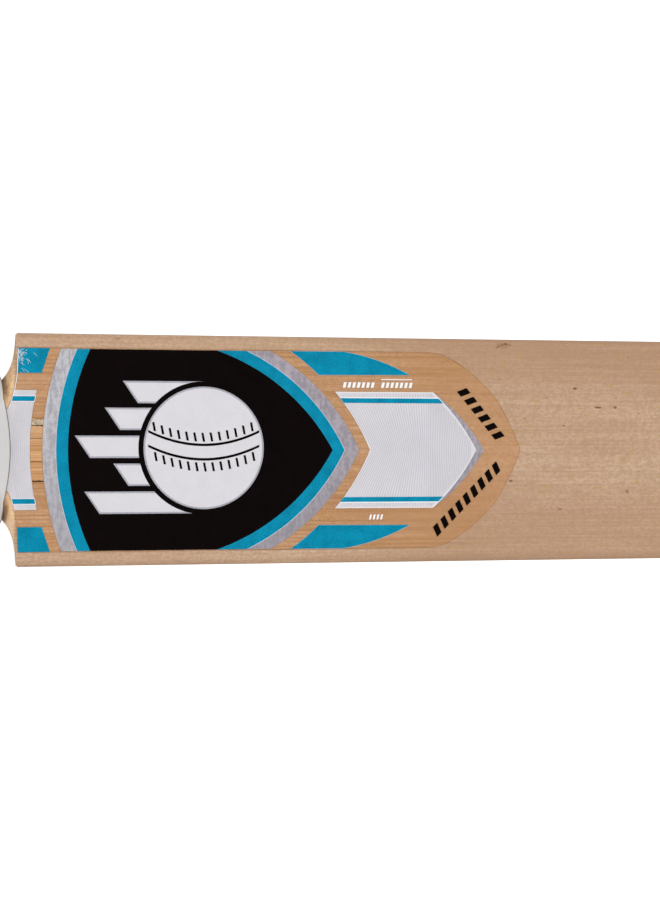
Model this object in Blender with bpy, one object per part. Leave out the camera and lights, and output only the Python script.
"""Cricket bat: willow blade, spliced twelve-lath cane handle, twine, rubber grip and film labels.

Units are metres. The origin is on the handle's axis, in the middle of the grip, where a hand holds
the bat. +Z runs up the handle, the toe points down, and the hitting face looks towards -Y.
Heights called "level" are measured from the shoulder line, where the face ends below the handle.
"""
import math

import bmesh
import bpy
import numpy as np

# ---- driving dimensions -------------------------------------------------------------------
BLADE_LENGTH = 0.560
BLADE_HALF_WIDTH = 0.054
HANDLE_TOP = 0.287              # level of the cane's end
GRIP_CENTRE = 0.145             # level of the origin
FACE_Y = -0.0165                # the face's plane, and the front of the neck
HANDLE_RADIUS = 0.01575
NECK_TOP = 0.034                # level where the willow cheeks end beside the cane
GAP = 0.0003                    # clearance between pieces that touch

SPLICE_DEPTH = 0.120            # the socket's V below the shoulder line
SPLICE_HALF_WIDTH = 0.0156      # at the shoulder line
SPLICE_TIP_HALF_WIDTH = 0.001
FORM_DEPTH = 0.145              # how far the form that trims the handle reaches below the shoulders
SPRING_THICKNESS = 0.0012
SLABS = 4
LATHS_PER_SLAB = 3

TWINE_THICKNESS = 0.0008
TWINE_FROM = 0.036
TWINE_TO = 0.285
GRIP_THICKNESS = 0.0016
GRIP_FROM = 0.0043
GRIP_LIP_RADIUS = 0.0140
GRIP_EASE = 0.0004              # the extra room and rounding at the grip's two ends
BORE_LEVELS = (0.040, 0.160, HANDLE_TOP + GAP)  # where the round stretch of the grip's bore has rings

LABEL_HALF_WIDTH = 0.0472
LABEL_TIP = -0.2454
LABEL_THICKNESS = 0.0002
BACK_LABEL_FROM = 0.040         # below the shoulder line
BACK_LABEL_TO = 0.170
BACK_LABEL_REACH = (0.10, 0.42)  # how far it lies in from the blade's edge at its two ends

FACE_ROLL = (0.006, 0.004)      # width and depth of the rounding from face to edge
BACK_ROLL = (0.008, 0.008)
TOE_KICK = 0.006                # how far the face curves forward at the toe
KICK_FROM = 0.320               # below the shoulder line
TOE_CORNER = 0.020
TOE_EDGE = 0.003
SHOULDER_EASE = 0.0008          # how far the shoulder's corner is drawn in
SHOULDER_EASE_BY = 0.0012
SCOOP_BY = 0.150                # depth below the shoulders where the back is fully scooped

# ---- profiles along the bat: (distance below the shoulder line, value) --------------------
EDGE_THICKNESS = [
    (0.000, 0.0040), (0.003, 0.0095), (0.008, 0.0145), (0.016, 0.0190), (0.032, 0.0225),
    (0.070, 0.0245), (0.130, 0.0275), (0.220, 0.0325), (0.330, 0.0375), (0.410, 0.0380),
    (0.475, 0.0330), (0.520, 0.0250), (0.560, 0.0150),
]
SPINE_THICKNESS = [
    (0.000, 0.0330), (0.050, 0.0335), (0.110, 0.0370), (0.200, 0.0460), (0.300, 0.0570),
    (0.370, 0.0625), (0.420, 0.0620), (0.470, 0.0535), (0.515, 0.0385), (0.545, 0.0255),
    (0.560, 0.0190),
]
# ---- the neck: (level, half of the flat front, half width, half depth, how round it is) ----
NECK = [
    (0.0003, 0.0340, 0.0480, 0.01650, 0.12), (0.0009, 0.0295, 0.0435, 0.01650, 0.28),
    (0.0017, 0.0258, 0.0402, 0.01650, 0.50), (0.0026, 0.0230, 0.0374, 0.01650, 0.70),
    (0.0035, 0.0209, 0.0350, 0.01650, 0.87), (0.0045, 0.0194, 0.0328, 0.01650, 1.00),
    (0.0065, 0.0175, 0.0292, 0.01650, 1.00), (0.0095, 0.0150, 0.0255, 0.01648, 1.00),
    (0.0135, 0.0120, 0.0226, 0.01640, 1.00), (0.0185, 0.0085, 0.0204, 0.01625, 1.00),
    (0.0245, 0.0050, 0.0188, 0.01605, 1.00), (0.0300, 0.0022, 0.0178, 0.01588, 1.00),
    (NECK_TOP, 0.0008, 0.0172, 0.01580, 1.00),
]

FACE_STEPS = 6
ROLL_STEPS = 4
EDGE_STEPS = 1
FLANK_STEPS = 9
SIDE_STEPS = 2 * ROLL_STEPS + EDGE_STEPS

BLADE_STATIONS = [
    0.0, 0.0004, 0.0012, 0.003, 0.006, 0.010, 0.016, 0.024, 0.036, 0.055, 0.080, 0.110, 0.145,
    0.185, 0.225, 0.265, 0.320, 0.355, 0.385, 0.415, 0.445, 0.470, 0.492, 0.511, 0.526,
]
TOE_STATIONS = 5
HANDLE_STATIONS = [0.0355, HANDLE_TOP]


def world(level):
    """The world height of a level above the shoulder line."""
    return level - GRIP_CENTRE


def along(profile, distance):
    """A smooth curve through a profile's points that never overshoots them."""
    xs, ys = (np.array(column) for column in zip(*profile))
    slopes = np.diff(ys) / np.diff(xs)
    tangents = np.zeros(len(xs))
    for i in range(1, len(xs) - 1):
        if slopes[i - 1] * slopes[i] > 0:
            tangents[i] = 2.0 / (1.0 / slopes[i - 1] + 1.0 / slopes[i])
    tangents[0], tangents[-1] = slopes[0], slopes[-1]
    i = int(np.clip(np.searchsorted(xs, distance) - 1, 0, len(slopes) - 1))
    step = xs[i + 1] - xs[i]
    t = (distance - xs[i]) / step
    return float(
        (2 * t**3 - 3 * t**2 + 1) * ys[i] + (t**3 - 2 * t**2 + t) * step * tangents[i]
        + (3 * t**2 - 2 * t**3) * ys[i + 1] + (t**3 - t**2) * step * tangents[i + 1]
    )


def quarter(start, end, steps, flat_first):
    """Points of a quarter ellipse after its start, leaving it flat in x or flat in depth."""
    points = []
    for i in range(1, steps + 1):
        a = math.pi / 2 * i / steps
        near, far = 1 - math.cos(a), math.sin(a)
        across, down = (far, near) if flat_first else (near, far)
        points.append((start[0] + (end[0] - start[0]) * across, start[1] + (end[1] - start[1]) * down))
    return points


def mirrored(half):
    """A closed outline from its right half, which runs from the front's middle to the back's."""
    return half + [(-x, depth) for x, depth in reversed(half[1:-1])]


def toe_rounding(below):
    """How far the outline is drawn in near the toe: at the sides, and at the face and back."""
    left = BLADE_LENGTH - below
    side = TOE_CORNER - math.sqrt(max(0.0, TOE_CORNER**2 - max(0.0, TOE_CORNER - left) ** 2))
    skin = TOE_EDGE - math.sqrt(max(0.0, TOE_EDGE**2 - max(0.0, TOE_EDGE - left) ** 2))
    return side, skin


def flank_point(below, half_width, u):
    """A point of the back: u is 0 beside the edge and 1 on the spine."""
    edge = along(EDGE_THICKNESS, below)
    spine = along(SPINE_THICKNESS, below)
    scooped = min(1.0, below / SCOOP_BY)
    scooped = scooped * scooped * (3 - 2 * scooped)
    full = math.sin(math.pi / 2 * u)
    scoop = (1 - math.cos(math.pi * u**0.85)) / 2
    return (half_width - BACK_ROLL[0]) * (1 - u), edge + (spine - edge) * (full + (scoop - full) * scooped)


def blade_outline(below):
    """The blade's section below the shoulder line, as (x, depth behind the face's plane)."""
    side, skin = toe_rounding(below)
    half_width = BLADE_HALF_WIDTH - side - SHOULDER_EASE * max(0.0, 1 - below / SHOULDER_EASE_BY)
    edge = along(EDGE_THICKNESS, below)
    roll_depth = min(FACE_ROLL[1], 0.45 * edge)
    back_depth = min(BACK_ROLL[1], 0.5 * edge)
    kick = TOE_KICK * max(0.0, (below - KICK_FROM) / (BLADE_LENGTH - KICK_FROM)) ** 2
    flat = half_width - FACE_ROLL[0]
    flank = half_width - BACK_ROLL[0]
    half = [(flat * i / FACE_STEPS, 0.0) for i in range(FACE_STEPS + 1)]
    half += quarter(half[-1], (half_width, roll_depth), ROLL_STEPS, True)
    half += [(half_width, edge - back_depth)]
    half += quarter(half[-1], (flank, edge), ROLL_STEPS, False)
    half += [flank_point(below, half_width, i / FLANK_STEPS) for i in range(1, FLANK_STEPS + 1)]
    middle = along(SPINE_THICKNESS, below) / 2
    squeezed = [(x, middle + (depth - middle) * (1 - skin / middle) - kick) for x, depth in half]
    return mirrored(squeezed)


def round_outline(flat, half_width, half_depth):
    """The neck's or handle's section: a flat front, rounded sides and a round back."""
    front = -FACE_Y - half_depth
    half = [(flat * i / FACE_STEPS, front) for i in range(FACE_STEPS + 1)]
    half += quarter(half[-1], (half_width, front + half_depth), SIDE_STEPS, True)
    half += quarter(half[-1], (0.0, front + 2 * half_depth), FLANK_STEPS, False)
    return mirrored(half)


def neck_outline(flat, half_width, half_depth, roundness):
    """A section between the blade's own at the shoulder line, drawn in to a width, and a round one."""
    blade_width = BLADE_HALF_WIDTH - SHOULDER_EASE
    blade_flat = blade_width - FACE_ROLL[0]
    front = min(FACE_ROLL[1], 0.45 * EDGE_THICKNESS[0][1])
    points = []
    for (x, depth), (round_x, round_depth) in zip(
        blade_outline(0.0), round_outline(flat, half_width, half_depth)
    ):
        size = abs(x)
        if depth > front + 1e-6:
            size *= half_width / blade_width
        elif size <= blade_flat:
            size *= flat / blade_flat
        else:
            size = flat + (size - blade_flat) * (half_width - flat) / FACE_ROLL[0]
        x = math.copysign(size, x)
        points.append((x + (round_x - x) * roundness, depth + (round_depth - depth) * roundness))
    return points


def circle(radius):
    """A round section on the handle's axis."""
    return round_outline(0.0, radius, radius)


def ring(outline, level):
    """An outline placed in the world at a level."""
    return [(x, FACE_Y + depth, world(level)) for x, depth in outline]


def blade_rings(lowest):
    """Rings of the blade's outer surface from a depth below the shoulder line up to it."""
    toe = [BLADE_LENGTH - TOE_CORNER * (i / TOE_STATIONS) ** 2 for i in range(TOE_STATIONS + 1)]
    stations = sorted(set(BLADE_STATIONS + toe), reverse=True)
    return [ring(blade_outline(d), -d) for d in stations if d <= lowest]


def neck_rings():
    """Rings of the neck, from the shoulder line up to the end of the willow cheeks."""
    return [ring(neck_outline(*section), level) for level, *section in NECK]


# ---- scene, collections and materials -----------------------------------------------------
for old in list(bpy.context.scene.objects):
    bpy.data.objects.remove(old, do_unlink=True)

parts = bpy.data.collections.new("cricket_bat")
cutters = bpy.data.collections.new("cricket_bat_cutters")
for collection in (parts, cutters):
    bpy.context.scene.collection.children.link(collection)


def material(name, colour, roughness, metallic=0.0):
    made = bpy.data.materials.new(name)
    made.use_nodes = True
    made.diffuse_color = (*colour, 1.0)
    shader = made.node_tree.nodes["Principled BSDF"]
    shader.inputs["Base Color"].default_value = (*colour, 1.0)
    shader.inputs["Roughness"].default_value = roughness
    shader.inputs["Metallic"].default_value = metallic
    return made


WILLOW = material("willow", (0.58, 0.38, 0.23), 0.55)
CANE = material("cane", (0.52, 0.28, 0.10), 0.5)
CANE_DARK = material("cane_dark", (0.44, 0.22, 0.08), 0.5)
SPRING_RUBBER = material("spring_rubber", (0.03, 0.03, 0.03), 0.8)
TWINE = material("twine", (0.45, 0.38, 0.26), 0.85)
GRIP_RUBBER = material("grip_rubber", (0.68, 0.70, 0.71), 0.5)
LABEL_FILM = material("label_film", (0.03, 0.27, 0.38), 0.15)


def add(mesh, name, collection, look=None):
    """Put a mesh in the scene as a named piece, shaded smooth with its sharp edges kept."""
    piece = bpy.data.objects.new(name, mesh)
    collection.objects.link(piece)
    if look is None:
        piece.hide_render = True
        piece.display_type = "WIRE"
    else:
        mesh.materials.append(look)
    mesh.shade_smooth()
    mesh.set_sharp_from_angle(angle=math.radians(35))
    return piece


def loft(name, rings, closed_tube=False):
    """A mesh through rings of equal length: capped at both ends, or joined last to first."""
    built = bmesh.new()
    layers = [[built.verts.new(point) for point in points] for points in rings]
    pairs = list(zip(layers, layers[1:]))
    if closed_tube:
        pairs.append((layers[-1], layers[0]))
    for lower, upper in pairs:
        for i in range(len(lower)):
            j = (i + 1) % len(lower)
            built.faces.new((lower[i], lower[j], upper[j], upper[i]))
    if not closed_tube:
        built.faces.new(list(reversed(layers[0])))
        built.faces.new(layers[-1])
    bmesh.ops.recalc_face_normals(built, faces=built.faces)
    mesh = bpy.data.meshes.new(name)
    built.to_mesh(mesh)
    built.free()
    return mesh


def prism(name, outline, low_y, high_y, smooth=False):
    """A plate whose outline lies in X and Z and which runs from low_y to high_y."""
    curve = bpy.data.curves.new(name + "_outline", "CURVE")
    curve.dimensions = "2D"
    curve.fill_mode = "BOTH"
    curve.extrude = (high_y - low_y) / 2
    spline = curve.splines.new("POLY")
    spline.points.add(len(outline) - 1)
    for point, (x, level) in zip(spline.points, outline):
        point.co = (x, world(level), 0.0, 1.0)
    spline.use_cyclic_u = True
    flat = bpy.data.objects.new(name + "_curve", curve)
    flat.rotation_euler = (math.pi / 2, 0.0, 0.0)
    flat.location = (0.0, (low_y + high_y) / 2, 0.0)
    bpy.context.scene.collection.objects.link(flat)
    bpy.context.view_layer.update()
    mesh = bpy.data.meshes.new_from_object(flat.evaluated_get(bpy.context.evaluated_depsgraph_get()))
    mesh.transform(flat.matrix_world)
    bpy.data.objects.remove(flat, do_unlink=True)
    welded = bmesh.new()
    welded.from_mesh(mesh)
    bmesh.ops.remove_doubles(welded, verts=welded.verts, dist=1e-6)
    bmesh.ops.recalc_face_normals(welded, faces=welded.faces)
    welded.to_mesh(mesh)
    welded.free()
    mesh.name = name
    return mesh


def boolean(piece, operation, other):
    cut = piece.modifiers.new(operation.lower() + "_" + other.name, "BOOLEAN")
    cut.operation = operation
    cut.solver = "EXACT"
    cut.object = other


# ---- blade --------------------------------------------------------------------------------
SPLICE_SLOPE = (SPLICE_HALF_WIDTH - SPLICE_TIP_HALF_WIDTH) / SPLICE_DEPTH


def splice_level(half_width):
    """The level where the splice's V is this wide on each side of the axis."""
    return (half_width - SPLICE_HALF_WIDTH) / SPLICE_SLOPE


def blank_outline(left, right, clearance=0.0, top=HANDLE_TOP):
    """The part of the handle blank between two x positions: straight sides above a V."""
    xs = sorted({left, right, *(x for x in (-SPLICE_TIP_HALF_WIDTH, SPLICE_TIP_HALF_WIDTH)
                                if left < x < right)})
    foot = [(x, max(-SPLICE_DEPTH, splice_level(abs(x)))) for x in xs]
    foot = [(x + math.copysign(clearance, x) if x else x, level - clearance) for x, level in foot]
    return foot + [(foot[-1][0], top), (foot[0][0], top)]


blade = add(loft("blade", blade_rings(BLADE_LENGTH) + neck_rings()), "blade", parts, WILLOW)
SOCKET_REACH = 0.060
socket = add(
    prism("splice_socket", blank_outline(-HANDLE_RADIUS, HANDLE_RADIUS, GAP, NECK_TOP + 0.01),
          -SOCKET_REACH, SOCKET_REACH),
    "splice_socket", cutters,
)
boolean(blade, "DIFFERENCE", socket)

# ---- cane handle: four slabs of three laths, with a spring strip between slabs -------------
handle_rings = [ring(circle(HANDLE_RADIUS), level) for level in HANDLE_STATIONS]
handle_form = add(loft("handle_form", blade_rings(FORM_DEPTH) + neck_rings() + handle_rings),
                  "handle_form", cutters)

slab_thickness = (2 * HANDLE_RADIUS - (SLABS - 1) * (SPRING_THICKNESS + 2 * GAP)) / SLABS
slab_pitch = slab_thickness + SPRING_THICKNESS + 2 * GAP
lath_width = (2 * HANDLE_RADIUS - (LATHS_PER_SLAB - 1) * GAP) / LATHS_PER_SLAB
SLAB_NAMES = ("front", "mid_front", "mid_back", "back")
LATH_NAMES = ("left", "centre", "right")
BEYOND = 0.02                   # the outer slabs reach past the form, which trims them

for s, slab in enumerate(SLAB_NAMES):
    low_y = -HANDLE_RADIUS + s * slab_pitch
    high_y = low_y + slab_thickness
    for t, side in enumerate(LATH_NAMES):
        left = -HANDLE_RADIUS + t * (lath_width + GAP)
        name = f"cane_lath_{slab}_{side}"
        lath = add(
            prism(name, blank_outline(left, left + lath_width),
                  low_y - (BEYOND if s == 0 else 0.0), high_y + (BEYOND if s == SLABS - 1 else 0.0)),
            name, parts, CANE_DARK if (s + t) % 2 else CANE,
        )
        boolean(lath, "INTERSECT", handle_form)

for s in range(SLABS - 1):
    low_y = -HANDLE_RADIUS + s * slab_pitch + slab_thickness + GAP
    name = f"spring_strip_{s + 1}"
    strip = add(prism(name, blank_outline(-HANDLE_RADIUS, HANDLE_RADIUS), low_y, low_y + SPRING_THICKNESS),
                name, parts, SPRING_RUBBER)
    boolean(strip, "INTERSECT", handle_form)

# ---- twine binding and rubber grip --------------------------------------------------------
twine_inner = HANDLE_RADIUS + GAP
twine_outer = twine_inner + TWINE_THICKNESS
binding_rings = [ring(circle(radius), level) for radius, level in (
    (twine_outer, TWINE_FROM), (twine_outer, TWINE_TO), (twine_inner, TWINE_TO), (twine_inner, TWINE_FROM),
)]
add(loft("twine_binding", binding_rings, closed_tube=True), "twine_binding", parts, TWINE)

bore_radius = twine_outer + GAP
bore = [(level, flat, wide + GAP, deep + GAP) for level, flat, wide, deep, _ in NECK if level > GRIP_FROM]
_, rim_flat, rim_width, rim_depth = bore[0]
bore = [(GRIP_FROM, rim_flat, rim_width + GRIP_EASE, rim_depth)] + bore[1:-1]
bore += [(NECK_TOP - 0.001, GRIP_EASE, bore_radius + GRIP_EASE, bore_radius)]
bore += [(level, 0.0, bore_radius, bore_radius) for level in BORE_LEVELS]
outside = [ring(round_outline(flat, wide + GRIP_THICKNESS, deep + GRIP_THICKNESS), level)
           for level, flat, wide, deep in bore]
inside = [ring(round_outline(flat, wide, deep), level) for level, flat, wide, deep in bore]
lip_top = HANDLE_TOP + GAP + GRIP_THICKNESS
lip = [
    ring(circle(bore_radius + 0.55 * GRIP_THICKNESS), lip_top - GRIP_EASE),
    ring(circle(bore_radius - GRIP_EASE), lip_top),
    ring(circle(GRIP_LIP_RADIUS), lip_top - 0.0003),
    ring(circle(GRIP_LIP_RADIUS), HANDLE_TOP + GAP),
]
add(loft("rubber_grip", outside + lip + inside[::-1], closed_tube=True), "rubber_grip", parts, GRIP_RUBBER)

# ---- film labels --------------------------------------------------------------------------
LABEL_SIDE_END = -0.1967
LABEL_TAB = (0.0192, 0.0039)
# right half of the film's lower end, from the straight side to the tip
LABEL_POINT = [(0.0466, -0.2030), (0.0450, -0.2079), (0.0378, -0.2196), (0.0267, -0.2314), (0.0150, -0.2388)]
# right half of its upper end, from the side over the shoulder to the tab on the neck
LABEL_HEAD = [(LABEL_HALF_WIDTH, -0.0006), (0.0360, -0.0002), (0.0290, 0.0008), (0.0230, 0.0023)]
right = [LABEL_TAB] + LABEL_HEAD[::-1] + [(LABEL_HALF_WIDTH, LABEL_SIDE_END)] + LABEL_POINT
outline = right + [(0.0, LABEL_TIP)] + [(-x, level) for x, level in reversed(right)]
label_y = FACE_Y - GAP
add(prism("front_label", outline, label_y - LABEL_THICKNESS, label_y), "front_label", parts, LABEL_FILM)

# the back's film is a sheet that follows the flanks from one side of the spine to the other
back_stations = [BACK_LABEL_FROM] + [
    d for d in BLADE_STATIONS if BACK_LABEL_FROM < d < BACK_LABEL_TO
] + [BACK_LABEL_TO]
lift = GAP + 0.0001
back_rings = []
for below in back_stations:
    t = (below - BACK_LABEL_FROM) / (BACK_LABEL_TO - BACK_LABEL_FROM)
    inset = BACK_LABEL_REACH[0] + (BACK_LABEL_REACH[1] - BACK_LABEL_REACH[0]) * t * t
    steps = [inset + (1 - inset) * i / FLANK_STEPS for i in range(FLANK_STEPS + 1)]
    half = [flank_point(below, BLADE_HALF_WIDTH, u) for u in steps]
    under = half + [(-x, depth) for x, depth in half[-2::-1]]
    over = [(x, depth + LABEL_THICKNESS) for x, depth in reversed(under)]
    back_rings.append(ring([(x, depth + lift) for x, depth in under + over], -below))
add(loft("back_label", back_rings), "back_label", parts, LABEL_FILM)
